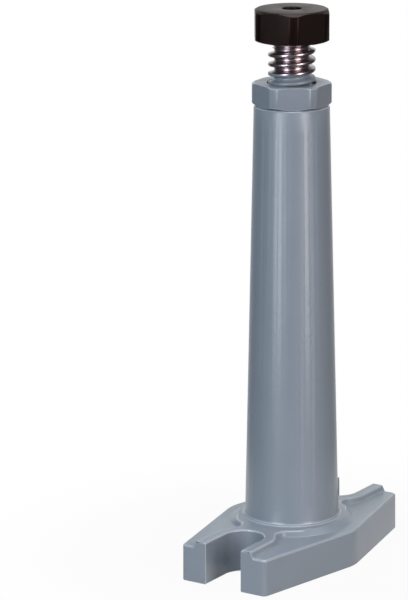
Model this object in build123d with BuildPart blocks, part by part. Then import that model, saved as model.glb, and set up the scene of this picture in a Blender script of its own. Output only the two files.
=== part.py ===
from build123d import *
from math import cos, radians, sin, tan
import os

os.makedirs("parts", exist_ok=True)

# A machinist's jack: a hollow cast column on a forked base, a trapezoidal screw, a lock nut and a
# hexagon head. The origin is on the column's axis at the underside of the base, +Z is up and X runs
# along the base. Driving dimensions are in millimetres and degrees.

# Forked base
base_length = 164
base_end_width = 62.4
base_middle_width = 96
base_height = 23.8
base_draft = 0.5
base_edge_chamfer = 0.8
middle_corner_radius = 30
end_corner_radius = 3.5

# Clamping slots, one open at each end of the base
slot_width = 26
slot_end = 45  # from the column's axis to the closed end of a slot
slot_chamfer = 0.6

# Raised rims beside the slots, in one with the raised pad round the foot of the column
rim_width = 9.2
pad_diameter = 80
raised_height = 3.8
raised_slope = 28
raised_chamfer = 0.6
notch_radius = 6  # the hollow where a rim runs into the pad

# Column
column_top = 296.5
column_top_diameter = 48
column_foot_diameter = 60.4
column_foot_radius = 3
column_foot_steps = 3
column_edge_radius = 1.6
column_edge_steps = 2
core_diameter = 38
guide_length = 50  # length of the tapped hole below the column's top
guide_chamfer = 1.5

# Screw, with the outside of its trapezoidal thread
thread_diameter = 30
thread_clearance = 0.5  # from the thread's outside to the tapped holes
thread_end_chamfer = 2.5
thread_shoulder = 1.2  # height of the short cone where the thread ends below the neck
neck_diameter = 22.4
neck_length = 0.5  # its straight part, below the flare that meets the head
neck_flare_diameter = 28
neck_flare_length = 4.2
seat_diameter = 20
seat_length = 8

# Lock nut, seated on the column
nut_across_flats = 46
nut_corner_diameter = 50.2
nut_bottom_chamfer = 2.6  # measured inwards from the corners
nut_top_chamfer = 1.4
nut_height = 14.4
nut_turn = 4.4
nut_mouth_chamfer = 0.6

# Hexagon head, pressed on the screw's seat
head_across_flats = 46
head_corner_diameter = 50.4
head_bottom_chamfer = 2.2
head_top_chamfer = 3.35
head_height = 20
head_turn = 34.5
head_gap = 26.6  # from the seated nut up to the head, as the jack stands
pin_hole_diameter = 12
pin_hole_depth = 9.5
pin_hole_chamfer = 0.5

# Slope of the chamfers on the corners of nut and head
corner_chamfer_angle = 30

# Stop at the lower end of the screw, which keeps it from being turned out of the column
full_height = 550
washer_diameter = 34
washer_thickness = 4
journal_diameter = 18
stop_clearance = 0.3  # between the journal and the washer, and at both of the washer's faces
rivet_diameter = 22
rivet_height = 3

# Places worked out from the sizes above
end_x = base_length / 2
rim_centre = slot_end + slot_width / 2
raised_top = base_height + raised_height
guide_radius = thread_diameter / 2 + thread_clearance
core_top = column_top - guide_length
nut_top = column_top + nut_height
head_bottom = nut_top + head_gap
head_top = head_bottom + head_height
screw_rise = full_height - head_top
thread_end = core_top - screw_rise
washer_top = thread_end - stop_clearance
rivet_top = washer_top - washer_thickness - stop_clearance
screw_end = rivet_top - rivet_height


def is_level(edge, height):
    """Whether an edge lies flat at one height."""
    box = edge.bounding_box()
    return box.size.Z < 0.01 and abs(box.min.Z - height) < 0.01


def arc_points(centre_x, centre_z, radius, start_angle, end_angle, steps):
    """Points evenly along an arc, for an edge that is rounded in a few turned steps."""
    turns = [radians(start_angle + (end_angle - start_angle) * step / steps) for step in range(steps + 1)]
    return [(centre_x + radius * cos(turn), centre_z + radius * sin(turn)) for turn in turns]


def slot_outlines(width):
    """Outlines round both slots, in the sketch under construction, that run past the base's ends."""
    for side in (-1, 1):
        with Locations((side * (rim_centre + end_x / 2), 0)):
            SlotCenterToCenter(end_x, width)


def hexagon(across_flats, turn, bottom, height):
    """A hexagonal prism, added to the part under construction."""
    with BuildSketch(Plane.XY.offset(bottom)) as outline:
        RegularPolygon(across_flats / 2, 6, major_radius=False, rotation=turn)
    extrude(outline.sketch, amount=height)


def turn_corners(corner_diameter, bottom_chamfer, top_chamfer, bottom, height):
    """Turns a hexagon's corners round and chamfers them towards both faces."""
    corner, top = corner_diameter / 2, bottom + height
    slope = tan(radians(corner_chamfer_angle))
    with BuildSketch(Plane.XZ) as turning:
        with BuildLine():
            Polyline(
                (0, bottom),
                (corner - bottom_chamfer, bottom),
                (corner, bottom + bottom_chamfer * slope),
                (corner, top - top_chamfer * slope),
                (corner - top_chamfer, top),
                (0, top),
                close=True,
            )
        make_face()
    revolve(turning.sketch, axis=Axis.Z, mode=Mode.INTERSECT)


# The casting: forked base and hollow column in one
with BuildPart() as base_column:
    # Base: a long hexagon with drafted sides, widest at the column
    with BuildSketch() as footprint:
        with BuildLine():
            Polyline(
                (end_x, base_end_width / 2),
                (0, base_middle_width / 2),
                (-end_x, base_end_width / 2),
                (-end_x, -base_end_width / 2),
                (0, -base_middle_width / 2),
                (end_x, -base_end_width / 2),
                close=True,
            )
        make_face()
        along_y = footprint.vertices().group_by(Axis.Y)
        fillet(along_y[0] + along_y[-1], middle_corner_radius)
        along_x = footprint.vertices().group_by(Axis.X)
        fillet(along_x[0] + along_x[-1], end_corner_radius)
    extrude(amount=base_height, taper=base_draft)

    # Raised pad and rims in one outline; growing and shrinking it rounds the notches between them
    with BuildSketch(Plane.XY.offset(base_height)):
        Circle(pad_diameter / 2)
        slot_outlines(slot_width + 2 * rim_width)
        offset(amount=notch_radius, mode=Mode.ADD)
        offset(amount=-notch_radius)
    extrude(amount=raised_height, taper=raised_slope)

    # The base's drafted ends cut the rims off
    for side in (-1, 1):
        outward = (side * cos(radians(base_draft)), 0, sin(radians(base_draft)))
        split(bisect_by=Plane(origin=(side * end_x, 0, 0), z_dir=outward), keep=Keep.BOTTOM)

    # Broken upper edges
    outer_edges = base_column.edges().filter_by(Edge.is_interior, reverse=True)
    chamfer(outer_edges.filter_by(lambda edge: is_level(edge, base_height)), base_edge_chamfer)
    raised_edges = base_column.edges().filter_by(lambda edge: is_level(edge, raised_top))
    chamfer(raised_edges, raised_chamfer)

    # Column, turned from its taper with a hollow foot and a rounded top edge
    foot_centre_x = column_foot_diameter / 2 + column_foot_radius
    foot_centre_z = raised_top + column_foot_radius
    edge_centre_x = column_top_diameter / 2 - column_edge_radius
    edge_centre_z = column_top - column_edge_radius
    with BuildSketch(Plane.XZ):
        with BuildLine():
            Polyline(
                (0, base_height / 2),
                (foot_centre_x, base_height / 2),
                *arc_points(foot_centre_x, foot_centre_z, column_foot_radius, 270, 180, column_foot_steps),
                *arc_points(edge_centre_x, edge_centre_z, column_edge_radius, 0, 90, column_edge_steps),
                (0, column_top),
                close=True,
            )
        make_face()
    revolve(axis=Axis.Z)

    # Hollow of the column: the core, then the tapped hole with its lead-in
    with BuildSketch(Plane.XZ):
        with BuildLine():
            Polyline(
                (0, 0),
                (core_diameter / 2, 0),
                (core_diameter / 2, core_top),
                (guide_radius, core_top),
                (guide_radius, column_top - guide_chamfer),
                (guide_radius + guide_chamfer, column_top),
                (0, column_top),
                close=True,
            )
        make_face()
    revolve(axis=Axis.Z, mode=Mode.SUBTRACT)

    # Clamping slots, right through the base, with broken edges
    with BuildSketch():
        slot_outlines(slot_width)
    extrude(amount=raised_top, mode=Mode.SUBTRACT)
    slot_edges = base_column.edges(Select.LAST).filter_by(Axis.Y, reverse=True)
    slot_rims = slot_edges.filter_by(lambda edge: is_level(edge, 0) or is_level(edge, raised_top))
    chamfer(slot_rims, slot_chamfer)
base_column.part.label = "base_column"
export_step(base_column.part, "parts/base_column.step")

# The lock nut, bored at the outside of its thread
with BuildPart() as lock_nut:
    hexagon(nut_across_flats, nut_turn, column_top, nut_height)
    turn_corners(nut_corner_diameter, nut_bottom_chamfer, nut_top_chamfer, column_top, nut_height)
    with Locations((0, 0, nut_top)):
        Hole(guide_radius)
    chamfer(lock_nut.edges().filter_by(GeomType.CIRCLE).group_by(SortBy.RADIUS)[0], nut_mouth_chamfer)
lock_nut.part.label = "lock_nut"
export_step(lock_nut.part, "parts/lock_nut.step")

# The screw, turned from the riveted end that holds the stop washer to the seat for the head
with BuildPart() as spindle:
    thread_radius, neck_radius = thread_diameter / 2, neck_diameter / 2
    journal_radius, rivet_radius = journal_diameter / 2, rivet_diameter / 2
    flare_bottom = head_bottom - neck_flare_length
    neck_bottom = flare_bottom - neck_length
    with BuildSketch(Plane.XZ):
        with BuildLine():
            Polyline(
                (0, screw_end),
                (rivet_radius, screw_end),
                (rivet_radius, rivet_top),
                (journal_radius, rivet_top),
                (journal_radius, thread_end),
                (thread_radius - thread_end_chamfer, thread_end),
                (thread_radius, thread_end + thread_end_chamfer),
                (thread_radius, neck_bottom - thread_shoulder),
                (neck_radius, neck_bottom),
                (neck_radius, flare_bottom),
                (neck_flare_diameter / 2, head_bottom),
                (seat_diameter / 2, head_bottom),
                (seat_diameter / 2, head_bottom + seat_length),
                (0, head_bottom + seat_length),
                close=True,
            )
        make_face()
    revolve(axis=Axis.Z)
spindle.part.label = "spindle"
export_step(spindle.part, "parts/spindle.step")

# The head, with the hole for a rest in its top and the bore for the screw's seat below
with BuildPart() as hex_head:
    hexagon(head_across_flats, head_turn, head_bottom, head_height)
    turn_corners(head_corner_diameter, head_bottom_chamfer, head_top_chamfer, head_bottom, head_height)
    with Locations((0, 0, head_top)):
        Hole(pin_hole_diameter / 2, pin_hole_depth)
    chamfer(hex_head.edges(Select.LAST).sort_by(Axis.Z)[-1], pin_hole_chamfer)
    with BuildSketch(Plane.XY.offset(head_bottom)):
        Circle(seat_diameter / 2)
    extrude(amount=seat_length, mode=Mode.SUBTRACT)
hex_head.part.label = "hex_head"
export_step(hex_head.part, "parts/hex_head.step")

# The stop washer, loose on the journal between the thread and the riveted end
with BuildPart() as stop_washer:
    with BuildSketch(Plane.XY.offset(washer_top - washer_thickness)):
        Circle(washer_diameter / 2)
        Circle(journal_diameter / 2 + stop_clearance, mode=Mode.SUBTRACT)
    extrude(amount=washer_thickness)
stop_washer.part.label = "stop_washer"
export_step(stop_washer.part, "parts/stop_washer.step")
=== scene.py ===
from math import atan2, cos, degrees, radians, sin, tan

import bmesh
import bpy
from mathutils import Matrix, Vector


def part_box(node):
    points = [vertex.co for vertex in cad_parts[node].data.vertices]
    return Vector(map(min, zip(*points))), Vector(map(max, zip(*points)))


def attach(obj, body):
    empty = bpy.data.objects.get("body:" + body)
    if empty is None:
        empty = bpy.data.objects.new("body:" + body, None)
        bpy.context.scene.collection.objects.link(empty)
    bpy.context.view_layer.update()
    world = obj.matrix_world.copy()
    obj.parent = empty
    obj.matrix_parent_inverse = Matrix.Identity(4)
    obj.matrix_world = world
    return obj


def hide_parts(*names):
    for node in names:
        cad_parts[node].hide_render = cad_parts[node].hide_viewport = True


mm = 0.001

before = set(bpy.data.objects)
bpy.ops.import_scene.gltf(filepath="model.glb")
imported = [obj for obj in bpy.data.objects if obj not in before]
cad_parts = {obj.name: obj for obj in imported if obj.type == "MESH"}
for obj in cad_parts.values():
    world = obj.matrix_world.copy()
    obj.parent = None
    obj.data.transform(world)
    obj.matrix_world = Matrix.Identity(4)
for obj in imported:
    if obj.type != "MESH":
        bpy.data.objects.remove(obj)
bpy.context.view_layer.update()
print("frame loaded:", ", ".join(sorted(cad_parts)))


# Colours are written as sRGB hex and turned to the linear values that the shaders take
def linearColour(hexColour):
    channels = [int(hexColour[place:place + 2], 16) / 255 for place in (1, 3, 5)]
    return [c / 12.92 if c <= 0.04045 else ((c + 0.055) / 1.055) ** 2.4 for c in channels] + [1]


# Adds one node: its own settings, the values of its sockets and the links that come in. A Mix node's
# sockets go by number: 0 is its share, 6 and 7 are its two colours, and 2 is the mixed colour.
def addNode(tree, kind, values={}, links={}, **settings):
    node = tree.nodes.new(kind)
    for name, setting in settings.items():
        setattr(node, name, setting)
    for socket, value in values.items():
        node.inputs[socket].default_value = value
    for socket, source in links.items():
        tree.links.new(source, node.inputs[socket])
    return node


# A material whose node tree is still empty
def newMaterial(name):
    material = bpy.data.materials.new(name)
    material.use_nodes = True
    material.node_tree.nodes.clear()
    return material, material.node_tree


# Gloss enamel sprayed on rough cast iron: a shiny skin with orange peel, which shows the casting's
# own long unevenness as slightly wavering highlights
enamel = {
    "colour": "#78838d",
    "thinColour": "#7f8a94",
    "roughness": 0.33,
    "ior": 1.5,
    "peelWidth": 1.9 * mm,
    "peelHeight": 0.08 * mm,
    "castWidth": 13 * mm,
    "castHeight": 0.15 * mm,
    "patchWidth": 30 * mm,
}


def glossEnamel():
    material, tree = newMaterial("glossEnamelOnCastIron")
    place = addNode(tree, "ShaderNodeTexCoord").outputs["Object"]
    patches = addNode(tree, "ShaderNodeTexNoise", {"Scale": 1 / enamel["patchWidth"], "Detail": 3},
                      {"Vector": place})
    colour = addNode(tree, "ShaderNodeMix",
                     {6: linearColour(enamel["colour"]), 7: linearColour(enamel["thinColour"])},
                     {0: patches.outputs["Fac"]}, data_type="RGBA")
    cast = addNode(tree, "ShaderNodeTexNoise", {"Scale": 1 / enamel["castWidth"], "Detail": 2},
                   {"Vector": place})
    castBump = addNode(tree, "ShaderNodeBump", {"Distance": enamel["castHeight"]},
                       {"Height": cast.outputs["Fac"]})
    peel = addNode(tree, "ShaderNodeTexNoise", {"Scale": 1 / enamel["peelWidth"], "Detail": 1},
                   {"Vector": place})
    peelBump = addNode(tree, "ShaderNodeBump", {"Distance": enamel["peelHeight"]},
                       {"Height": peel.outputs["Fac"], "Normal": castBump.outputs["Normal"]})
    skin = addNode(tree, "ShaderNodeBsdfPrincipled",
                   {"Roughness": enamel["roughness"], "IOR": enamel["ior"]},
                   {"Base Color": colour.outputs[2], "Normal": peelBump.outputs["Normal"]})
    addNode(tree, "ShaderNodeOutputMaterial", {}, {"Surface": skin.outputs["BSDF"]})
    return material


# The same enamel, painted paler on the bevels of the edges: a painted highlight, so that edges show as light
# lines
paintedEdgeHighlight = {"colour": "#99a3ac", "roughness": 0.24}


def edgeHighlightEnamel():
    material, tree = newMaterial("enamelPaintedLighterOnEdges")
    skin = addNode(tree, "ShaderNodeBsdfPrincipled",
                   {"Base Color": linearColour(paintedEdgeHighlight["colour"]), "Roughness": paintedEdgeHighlight["roughness"],
                    "IOR": enamel["ior"]})
    addNode(tree, "ShaderNodeOutputMaterial", {}, {"Surface": skin.outputs["BSDF"]})
    return material


# Free-cutting steel, turned bright and lightly oiled: fine marks of the tool run round the screw.
# The first turns above the nut caught the enamel when the jack was sprayed with the nut in place.
steel = {
    "colour": "#aea2a6",
    "roughness": 0.27,
    "markWidth": 0.35 * mm,  # real marks are about 0.1 mm apart, too fine to show
    "markHeight": 0.006 * mm,
    "markRun": (0.02, 0.02, 1),  # the marks change only along the axis
    "sprayedFrom": 309 * mm,  # heights between which the thread is painted
    "sprayedTo": 317.6 * mm,
    "sprayEdge": 0.8 * mm,
    "sprayWander": 2.4 * mm,  # how far the edge of the paint wanders, in patches of the next width
    "sprayWidth": 7 * mm,
}


# 1 on the turns that caught the enamel and 0 elsewhere, with a ragged edge
def sprayedTurns(tree, place):
    height = addNode(tree, "ShaderNodeSeparateXYZ", {}, {"Vector": place}).outputs["Z"]
    wander = addNode(tree, "ShaderNodeTexNoise", {"Scale": 1 / steel["sprayWidth"], "Detail": 4},
                     {"Vector": place})
    reach = addNode(tree, "ShaderNodeMath", {1: steel["sprayWander"]}, {0: wander.outputs["Fac"], 2: height},
                    operation="MULTIPLY_ADD")
    upperEdge = steel["sprayedTo"] + steel["sprayWander"] / 2
    notAbove = addNode(tree, "ShaderNodeMapRange",
                       {"From Min": upperEdge - steel["sprayEdge"] / 2,
                        "From Max": upperEdge + steel["sprayEdge"] / 2,
                        "To Min": 1, "To Max": 0},
                       {"Value": reach.outputs[0]})
    notBelow = addNode(tree, "ShaderNodeMapRange",
                       {"From Min": steel["sprayedFrom"],
                        "From Max": steel["sprayedFrom"] + steel["sprayEdge"]},
                       {"Value": reach.outputs[0]})
    sprayed = addNode(tree, "ShaderNodeMath", {},
                      {0: notAbove.outputs["Result"], 1: notBelow.outputs["Result"]}, operation="MULTIPLY")
    return sprayed.outputs[0]


def turnedSteel():
    material, tree = newMaterial("turnedSteel")
    place = addNode(tree, "ShaderNodeTexCoord").outputs["Object"]
    alongAxis = addNode(tree, "ShaderNodeMapping", {"Scale": steel["markRun"]}, {"Vector": place})
    marks = addNode(tree, "ShaderNodeTexNoise", {"Scale": 1 / steel["markWidth"], "Detail": 2},
                    {"Vector": alongAxis.outputs["Vector"]})
    markBump = addNode(tree, "ShaderNodeBump", {"Distance": steel["markHeight"]},
                       {"Height": marks.outputs["Fac"]})
    metal = addNode(tree, "ShaderNodeBsdfPrincipled",
                    {"Base Color": linearColour(steel["colour"]), "Metallic": 1,
                     "Roughness": steel["roughness"]},
                    {"Normal": markBump.outputs["Normal"]})
    paint = addNode(tree, "ShaderNodeBsdfPrincipled",
                    {"Base Color": linearColour(enamel["colour"]), "Roughness": enamel["roughness"],
                     "IOR": enamel["ior"]})
    surface = addNode(tree, "ShaderNodeMixShader", {},
                      {0: sprayedTurns(tree, place), 1: metal.outputs["BSDF"], 2: paint.outputs["BSDF"]})
    addNode(tree, "ShaderNodeOutputMaterial", {}, {"Surface": surface.outputs[0]})
    return material


# Hardened steel, blackened and oiled: almost black, with a soft shine and a warm cast
blackSteel = {
    "colour": "#0a0504",
    "wornColour": "#120a07",
    "patchWidth": 8 * mm,
    "roughness": 0.38,
    "shine": 0.14,
    "shineColour": "#ffe0d8",
    "grainWidth": 0.9 * mm,
    "grainHeight": 0.008 * mm,
}


def blackOxideSteel():
    material, tree = newMaterial("blackOxideSteel")
    place = addNode(tree, "ShaderNodeTexCoord").outputs["Object"]
    patches = addNode(tree, "ShaderNodeTexNoise", {"Scale": 1 / blackSteel["patchWidth"], "Detail": 4},
                      {"Vector": place})
    colour = addNode(tree, "ShaderNodeMix",
                     {6: linearColour(blackSteel["colour"]), 7: linearColour(blackSteel["wornColour"])},
                     {0: patches.outputs["Fac"]}, data_type="RGBA")
    grain = addNode(tree, "ShaderNodeTexNoise", {"Scale": 1 / blackSteel["grainWidth"], "Detail": 2},
                    {"Vector": place})
    grainBump = addNode(tree, "ShaderNodeBump", {"Distance": blackSteel["grainHeight"]},
                        {"Height": grain.outputs["Fac"]})
    metal = addNode(tree, "ShaderNodeBsdfPrincipled",
                    {"Roughness": blackSteel["roughness"], "Specular IOR Level": blackSteel["shine"],
                     "Specular Tint": linearColour(blackSteel["shineColour"])},
                    {"Base Color": colour.outputs[2], "Normal": grainBump.outputs["Normal"]})
    addNode(tree, "ShaderNodeOutputMaterial", {}, {"Surface": metal.outputs["BSDF"]})
    return material


# Grey iron, milled flat: bare metal with fine parallel marks of the cutter
iron = {
    "colour": "#8b8a88",
    "roughness": 0.42,
    "markWidth": 1.1 * mm,
    "markHeight": 0.01 * mm,
    "markRun": (1, 0.03, 1),  # the marks run along Y
}


def milledIron():
    material, tree = newMaterial("milledCastIron")
    place = addNode(tree, "ShaderNodeTexCoord").outputs["Object"]
    alongX = addNode(tree, "ShaderNodeMapping", {"Scale": iron["markRun"]}, {"Vector": place})
    marks = addNode(tree, "ShaderNodeTexNoise", {"Scale": 1 / iron["markWidth"], "Detail": 3},
                    {"Vector": alongX.outputs["Vector"]})
    markBump = addNode(tree, "ShaderNodeBump", {"Distance": iron["markHeight"]},
                       {"Height": marks.outputs["Fac"]})
    metal = addNode(tree, "ShaderNodeBsdfPrincipled",
                    {"Base Color": linearColour(iron["colour"]), "Metallic": 1,
                     "Roughness": iron["roughness"]},
                    {"Normal": markBump.outputs["Normal"]})
    addNode(tree, "ShaderNodeOutputMaterial", {}, {"Surface": metal.outputs["BSDF"]})
    return material


enamelPaint, edgeHighlightPaint, bareIron = glossEnamel(), edgeHighlightEnamel(), milledIron()
brightSteel, oxideSteel = turnedSteel(), blackOxideSteel()
print("materials made")


# Puts a bmesh in the scene as a new piece
def newPiece(name, bm):
    mesh = bpy.data.meshes.new(name)
    bm.to_mesh(mesh)
    bm.free()
    piece = bpy.data.objects.new(name, mesh)
    bpy.context.scene.collection.objects.link(piece)
    return piece


# Points of a CAD mesh that lie this close are one point, and faces this flat to each other are one face
cadCopy = {"mergeDistance": 0.002 * mm, "flatAngle": 0.3}


# A copy of a CAD node with its loose triangles merged and its flat faces made whole
def mergedCopy(node, name):
    bm = bmesh.new()
    bm.from_mesh(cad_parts[node].data)
    bmesh.ops.remove_doubles(bm, verts=bm.verts, dist=cadCopy["mergeDistance"])
    bmesh.ops.dissolve_limit(bm, angle_limit=radians(cadCopy["flatAngle"]), verts=bm.verts, edges=bm.edges)
    return newPiece(name, bm)


# Gives a piece its materials, and shades it smooth except at its sharp edges
def finishPiece(piece, care, materials):
    piece.data.materials.clear()
    for material in materials:
        piece.data.materials.append(material)
    piece.data.shade_smooth()
    piece.data.set_sharp_from_angle(angle=radians(care["sharpAngle"]))


# Breaks a piece's edges with a narrow bevel; -1 gives the bevel the material of the faces beside it
def breakEdges(piece, care, materialIndex=-1):
    bevel = piece.modifiers.new("brokenEdges", "BEVEL")
    bevel.width = care["edge"]
    bevel.segments = care["edgeSegments"]
    bevel.limit_method = "ANGLE"
    bevel.angle_limit = radians(care["edgeAngle"])
    bevel.use_clamp_overlap = False
    bevel.harden_normals = True
    bevel.material = materialIndex


# Casting
castingCare = {
    "edge": 0.4 * mm,
    "edgeSegments": 2,
    "edgeAngle": 25,
    "sharpAngle": 40,
    "underside": 0.05 * mm,  # what lies below this height is milled bare
    "slabTop": 23.8 * mm,  # the rims and the pad stand on the slab
    "level": 0.02 * mm,  # how closely an edge lies at that height
    "hollow": 3 * mm,
    "hollowSegments": 5,
    "hollowAngle": 25,
    "padFrom": 37.3 * mm,  # radii between which the two lines of the pad's chamfered edge lie
    "padTo": 38.4 * mm,
    "padLow": 27 * mm,  # heights below, between and above the two lines
    "padEdge": 27.3 * mm,
    "padHigh": 27.7 * mm,
    "softFrom": 35,  # angles from the base's length between which the softening sets in
    "softTo": 60,
    "drawnSide": 3 * mm,  # how far the lower and the upper line are drawn inwards
    "drawnTop": 3.4 * mm,
}


# Draws the pad's upper edge inwards on both sides of the base, where the casting flows softly down
# from the column's foot; towards the slots the edge stays as it is
def softenPad(piece, care):
    for vert in piece.data.vertices:
        radius, height = vert.co.xy.length, vert.co.z
        if care["padFrom"] < radius < care["padTo"] and care["padLow"] < height < care["padHigh"]:
            turn = abs(degrees(atan2(vert.co.y, abs(vert.co.x))))
            share = min(max((turn - care["softFrom"]) / (care["softTo"] - care["softFrom"]), 0), 1)
            share = share * share * (3 - 2 * share)  # sets in and ends softly
            drawn = care["drawnTop"] if height > care["padEdge"] else care["drawnSide"]
            vert.co.xy *= (radius - share * drawn) / radius


# Fillets the hollow edges where rims and pad stand on the slab, as the sand mould leaves them
def filletHollows(piece, care):
    bm = bmesh.new()
    bm.from_mesh(piece.data)
    hollows = [edge for edge in bm.edges
               if edge.is_manifold and not edge.is_convex
               and edge.calc_face_angle() > radians(care["hollowAngle"])
               and all(abs(vert.co.z - care["slabTop"]) < care["level"] for vert in edge.verts)]
    bmesh.ops.bevel(bm, geom=hollows, offset=care["hollow"], offset_type="OFFSET",
                    segments=care["hollowSegments"], profile=0.5, affect="EDGES", clamp_overlap=True,
                    material=-1)
    bm.to_mesh(piece.data)
    bm.free()
    print("hollow edges filleted:", len(hollows))


def makeCasting():
    casting = mergedCopy("base_column", "casting")
    softenPad(casting, castingCare)
    filletHollows(casting, castingCare)
    materials = (enamelPaint, bareIron, edgeHighlightPaint)
    finishPiece(casting, castingCare, materials)
    for face in casting.data.polygons:
        if face.center.z < castingCare["underside"]:
            face.material_index = materials.index(bareIron)
    # The bevels along the casting's edges take the paler enamel: a painted highlight along them
    breakEdges(casting, castingCare, materials.index(edgeHighlightPaint))
    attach(casting, "casting")
    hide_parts("base_column")
    return casting


casting = makeCasting()
print("casting made:", len(casting.data.polygons), "faces")

# An upright edge of a hexagon: least angle between its faces, most lean and least distance from the axis
uprightEdge = {"angle": 15, "lean": 0.01 * mm, "radius": 20 * mm}


# Rounds the upright edges between a hexagon's flats and its turned corners
def roundUprights(piece, care):
    bm = bmesh.new()
    bm.from_mesh(piece.data)
    uprights = [edge for edge in bm.edges
                if edge.is_manifold and edge.calc_face_angle() > radians(uprightEdge["angle"])
                and (edge.verts[0].co - edge.verts[1].co).xy.length < uprightEdge["lean"]
                and min(vert.co.xy.length for vert in edge.verts) > uprightEdge["radius"]]
    bmesh.ops.bevel(bm, geom=uprights, offset=care["upright"], offset_type="OFFSET",
                    segments=care["uprightSegments"], profile=0.5, affect="EDGES", clamp_overlap=False,
                    material=-1)
    bm.to_mesh(piece.data)
    bm.free()
    print("upright edges rounded:", len(uprights))


# Lock nut
nutCare = {
    "upright": 0.7 * mm,
    "uprightSegments": 4,
    "edge": 0.3 * mm,
    "edgeSegments": 2,
    "edgeAngle": 12,
    "sharpAngle": 40,
}


def makeLockNut():
    nut = mergedCopy("lock_nut", "lockNut")
    roundUprights(nut, nutCare)
    materials = (enamelPaint, edgeHighlightPaint)
    finishPiece(nut, nutCare, materials)
    # The bevels along the nut's edges take the paler enamel: a painted highlight along them
    breakEdges(nut, nutCare, materials.index(edgeHighlightPaint))
    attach(nut, "lock_nut")
    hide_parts("lock_nut")
    return nut


lockNut = makeLockNut()
print("lock nut made:", len(lockNut.data.polygons), "faces")

# Trapezoidal thread 30 x 6, right-hand, its crests and roots rounded
thread = {
    "pitch": 6 * mm,
    "crestRadius": 15 * mm,
    "rootRadius": 11.1 * mm,
    "crestWidth": 2 * mm,
    "flankAngle": 16,
    "crestRound": 1.05 * mm,
    "rootRound": 1.1 * mm,
    "roundSteps": 3,
    "crestHeight": 2.3 * mm,  # height of a crest above the base's underside, less whole turns, towards +X
    "stepsPerTurn": 64,
    "spareTurns": 2,  # beyond both ends, before they are cut
    "mergeDistance": 0.01 * mm,
}


# Points of an arc that rounds the corner between two straight lines
def roundedCorner(before, corner, after, radius, steps):
    toBefore, toAfter = (before - corner).normalized(), (after - corner).normalized()
    halfAngle = toBefore.angle(toAfter) / 2
    centre = corner + (toBefore + toAfter).normalized() * radius / sin(halfAngle)
    start = corner + toBefore * radius / tan(halfAngle) - centre
    end = corner + toAfter * radius / tan(halfAngle) - centre
    return [centre + start.slerp(end, step / steps) * radius for step in range(steps + 1)]


# One turn's outline as radius and height, from the middle of one root to the middle of the next
def toothOutline():
    crestRadius, rootRadius = thread["crestRadius"], thread["rootRadius"]
    halfCrest = thread["crestWidth"] / 2
    halfFoot = halfCrest + (crestRadius - rootRadius) * tan(radians(thread["flankAngle"]))
    corners = [Vector(corner) for corner in (
        (rootRadius, -thread["pitch"] / 2),
        (rootRadius, -halfFoot),
        (crestRadius, -halfCrest),
        (crestRadius, halfCrest),
        (rootRadius, halfFoot),
        (rootRadius, thread["pitch"] / 2),
    )]
    outline = []
    for place, kind in enumerate(("rootRound", "crestRound", "crestRound", "rootRound")):
        outline += roundedCorner(*corners[place:place + 3], thread[kind], thread["roundSteps"])
    return outline


# A bar with the thread all along it, from one height to another, closed at both ends. A chain of
# outlines is spun once round while it rises by one pitch, so that each turn ends where the next starts.
def threadBar(bottom, top):
    tooth = toothOutline()
    firstTurn = int((bottom - thread["crestHeight"]) / thread["pitch"]) - thread["spareTurns"]
    lastTurn = int((top - thread["crestHeight"]) / thread["pitch"]) + thread["spareTurns"]
    bm = bmesh.new()
    chain = []
    for turn in range(firstTurn, lastTurn + 1):
        crest = thread["crestHeight"] + turn * thread["pitch"]
        chain += [bm.verts.new((radius, 0, crest + height)) for radius, height in tooth]
    edges = [bm.edges.new(pair) for pair in zip(chain, chain[1:])]
    bmesh.ops.spin(bm, geom=chain + edges, cent=(0, 0, 0), axis=(0, 0, 1), angle=radians(360),
                   dvec=(0, 0, thread["pitch"] / thread["stepsPerTurn"]), steps=thread["stepsPerTurn"])
    bmesh.ops.remove_doubles(bm, verts=bm.verts, dist=thread["mergeDistance"])
    for height, outwards in ((bottom, -1), (top, 1)):
        cut = bmesh.ops.bisect_plane(bm, geom=bm.verts[:] + bm.edges[:] + bm.faces[:],
                                     plane_co=(0, 0, height), plane_no=(0, 0, outwards), clear_outer=True)
        rim = [edge for edge in cut["geom_cut"] if isinstance(edge, bmesh.types.BMEdge)]
        bmesh.ops.edgenet_fill(bm, edges=rim)
    bmesh.ops.recalc_face_normals(bm, faces=bm.faces)
    return newPiece("threadBar", bm)


# Sorts a mesh's points by their places, and its edges and faces by their points
def sortMesh(mesh):
    def place(vert):
        return vert.co[:]

    def points(part):
        return sorted(vert.index for vert in part.verts)

    bm = bmesh.new()
    bm.from_mesh(mesh)
    for parts, key in ((bm.verts, place), (bm.edges, points), (bm.faces, points)):
        ranks = {part: rank for rank, part in enumerate(sorted(parts, key=key))}
        parts.sort(key=ranks.get)
        parts.index_update()
    bm.to_mesh(mesh)
    bm.free()


# Keeps what of a piece lies inside a bar, and deletes the bar. The boolean gives the same shape each run,
# but its points and faces come in another order, so they are sorted.
def keepInside(piece, bar):
    cut = piece.modifiers.new("thread", "BOOLEAN")
    cut.operation = "INTERSECT"
    cut.solver = "MANIFOLD"
    cut.object = bar
    graph = bpy.context.evaluated_depsgraph_get()
    made = bpy.data.meshes.new_from_object(piece.evaluated_get(graph))
    piece.modifiers.clear()
    piece.data = made
    bpy.data.objects.remove(bar)
    sortMesh(piece.data)


# Screw
screwCare = {
    "blankGrowth": 1.04,
    "blankDepth": 0.05 * mm,  # what lies deeper than this under the crests doesn't grow
    "barSpare": 5 * mm,
    "sharpAngle": 32,
}


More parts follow.
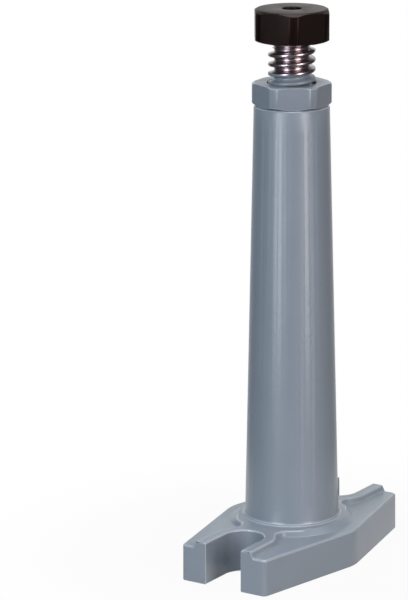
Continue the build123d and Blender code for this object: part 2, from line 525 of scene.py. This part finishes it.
def makeScrew():
    low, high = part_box("spindle")
    screw = mergedCopy("spindle", "threadedScrew")
    # The blank stands a little proud of the crests, so that the bar alone shapes them
    for vert in screw.data.vertices:
        if vert.co.xy.length > thread["crestRadius"] - screwCare["blankDepth"]:
            vert.co.xy *= screwCare["blankGrowth"]
    keepInside(screw, threadBar(low.z - screwCare["barSpare"], high.z + screwCare["barSpare"]))
    finishPiece(screw, screwCare, (brightSteel,))
    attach(screw, "screw")
    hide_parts("spindle")
    return screw


screw = makeScrew()
print("screw made:", len(screw.data.polygons), "faces")

# Hexagon head
headCare = {
    "upright": 0.5 * mm,
    "uprightSegments": 3,
    "edge": 0.3 * mm,
    "edgeSegments": 2,
    "edgeAngle": 12,
    "sharpAngle": 40,
}


def makeHead():
    head = mergedCopy("hex_head", "hexagonHead")
    roundUprights(head, headCare)
    finishPiece(head, headCare, (oxideSteel,))
    breakEdges(head, headCare)
    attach(head, "screw")
    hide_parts("hex_head")
    return head


head = makeHead()
print("head made:", len(head.data.polygons), "faces")

# Stop washer
washerCare = {"edge": 0.3 * mm, "edgeSegments": 2, "edgeAngle": 30, "sharpAngle": 40}


def makeWasher():
    washer = mergedCopy("stop_washer", "stopWasher")
    finishPiece(washer, washerCare, (brightSteel,))
    breakEdges(washer, washerCare)
    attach(washer, "end_stop")
    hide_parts("stop_washer")
    return washer


washer = makeWasher()
print("washer made:", len(washer.data.polygons), "faces")

# The photograph's view: a long lens, a little above the object; places are in metres
view = {
    "place": (-1.65816, -1.03182, 0.66822),
    "azimuth": -58.107,
    "pitch": 14.318,
    "lens": 189.556,
    "shift": -0.1463,
}


def makeCamera():
    camera = bpy.data.objects.new("camera", bpy.data.cameras.new("camera"))
    bpy.context.scene.collection.objects.link(camera)
    camera.location = view["place"]
    camera.rotation_euler = (radians(90 - view["pitch"]), 0, radians(view["azimuth"]))
    camera.data.lens = view["lens"]
    camera.data.shift_x = view["shift"]
    bpy.context.scene.camera = camera


makeCamera()
print("camera made")

# Lamps stand round the object, turned by an angle from the camera's side and aimed at one height of its
# axis; lengths are in metres
aimHeight = 0.18
lamps = {
    "leftBox": {
        "turn": -37, "height": 0.64, "distance": 1.5, "size": (0.56, 1.3), "power": 19, "colour": "#f0f5ff",
    },
    "rightBox": {
        "turn": 40, "height": 0.64, "distance": 1.5, "size": (0.64, 1.3), "power": 19, "colour": "#fff4f2",
    },
    "topBox": {
        "turn": 180, "height": 1.8, "distance": 0.22, "size": (1.2, 1.2), "power": 29, "colour": "#ffffff",
    },
}


def makeLamp(name, care):
    light = bpy.data.lights.new(name, "AREA")
    light.shape = "RECTANGLE"
    light.size, light.size_y = care["size"]
    light.energy = care["power"]
    light.color = linearColour(care["colour"])[:3]
    lamp = bpy.data.objects.new(name, light)
    bpy.context.scene.collection.objects.link(lamp)
    turn = radians(view["azimuth"] + care["turn"])
    lamp.location = (sin(turn) * care["distance"], -cos(turn) * care["distance"], care["height"])
    aim = Vector((0, 0, aimHeight)) - lamp.location
    lamp.rotation_euler = aim.to_track_quat("-Z", "Y").to_euler()


for name, care in lamps.items():
    makeLamp(name, care)
print("lamps made:", len(lamps))


# 1 for the rays that see the backdrop, from the camera or mirrored or let through by a surface
def seenRays(tree, rays):
    passed = addNode(tree, "ShaderNodeMath", {},
                     {0: rays.outputs["Is Glossy Ray"], 1: rays.outputs["Is Transmission Ray"]},
                     operation="MAXIMUM")
    seen = addNode(tree, "ShaderNodeMath", {},
                   {0: rays.outputs["Is Camera Ray"], 1: passed.outputs[0]}, operation="MAXIMUM")
    return seen.outputs[0]


# Backdrop
backdropCare = {
    "fill": 0.03,  # strength of the light from all round
    "darkSide": 0.07,  # brightness of the room on the camera's side, as the object mirrors it
    "whiteFrom": 0.62,  # cosines of the angles from the middle of the backdrop
    "whiteTo": 0.98,
}


# A white backdrop behind the object and a dim room on the camera's side, which gives the steel its
# dark bands; the camera sees white all round, and the fill light stays low
def makeBackdrop():
    world = bpy.data.worlds.new("studio")
    bpy.context.scene.world = world
    world.use_nodes = True
    tree = world.node_tree
    tree.nodes.clear()
    rays = addNode(tree, "ShaderNodeLightPath")
    direction = addNode(tree, "ShaderNodeTexCoord").outputs["Generated"]
    azimuth = radians(view["azimuth"])
    backdropMiddle = (-sin(azimuth), cos(azimuth), 0)
    away = addNode(tree, "ShaderNodeVectorMath", {1: backdropMiddle}, {0: direction},
                   operation="DOT_PRODUCT")
    glow = addNode(tree, "ShaderNodeMapRange",
                   {"From Min": backdropCare["whiteFrom"], "From Max": backdropCare["whiteTo"],
                    "To Min": backdropCare["darkSide"], "To Max": 1},
                   {"Value": away.outputs["Value"]}, interpolation_type="SMOOTHSTEP")
    whiteness = addNode(tree, "ShaderNodeMath", {},
                        {0: rays.outputs["Is Camera Ray"], 1: glow.outputs["Result"]}, operation="MAXIMUM")
    fill = addNode(tree, "ShaderNodeBackground", {"Color": (1, 1, 1, 1), "Strength": backdropCare["fill"]})
    backdrop = addNode(tree, "ShaderNodeBackground", {"Color": (1, 1, 1, 1)},
                       {"Strength": whiteness.outputs[0]})
    mixed = addNode(tree, "ShaderNodeMixShader", {},
                    {0: seenRays(tree, rays), 1: fill.outputs[0], 2: backdrop.outputs[0]})
    addNode(tree, "ShaderNodeOutputWorld", {}, {"Surface": mixed.outputs[0]})


makeBackdrop()
print("backdrop made")

# Floor, with lengths in metres
floorCare = {
    "colour": "#989898",
    "radius": 0.26,
    "sides": 96,
    "shadowNear": 0.09,
    "shadowFar": 0.24,
    "shadowDepth": 0.05,
}


# A white table that runs out into the backdrop, with a faint shadow under the object
def makeFloor():
    bm = bmesh.new()
    bmesh.ops.create_circle(bm, cap_ends=True, radius=floorCare["radius"], segments=floorCare["sides"])
    floor = newPiece("floor", bm)
    material, tree = newMaterial("paleFloor")
    rays = addNode(tree, "ShaderNodeLightPath")
    place = addNode(tree, "ShaderNodeTexCoord").outputs["Object"]
    away = addNode(tree, "ShaderNodeVectorMath", {}, {0: place}, operation="LENGTH")
    whiteness = addNode(tree, "ShaderNodeMapRange",
                        {"From Min": floorCare["shadowNear"], "From Max": floorCare["shadowFar"],
                         "To Min": 1 - floorCare["shadowDepth"], "To Max": 1},
                        {"Value": away.outputs["Value"]}, interpolation_type="SMOOTHSTEP")
    share = addNode(tree, "ShaderNodeMath", {},
                    {0: seenRays(tree, rays), 1: whiteness.outputs["Result"]}, operation="MULTIPLY")
    paint = addNode(tree, "ShaderNodeBsdfDiffuse", {"Color": linearColour(floorCare["colour"])})
    glow = addNode(tree, "ShaderNodeEmission", {"Color": (1, 1, 1, 1), "Strength": 1})
    mixed = addNode(tree, "ShaderNodeMixShader", {},
                    {0: share.outputs[0], 1: paint.outputs[0], 2: glow.outputs[0]})
    addNode(tree, "ShaderNodeOutputMaterial", {}, {"Surface": mixed.outputs[0]})
    floor.data.materials.append(material)


makeFloor()
bpy.context.scene.view_settings.view_transform = "Standard"
print("floor made")
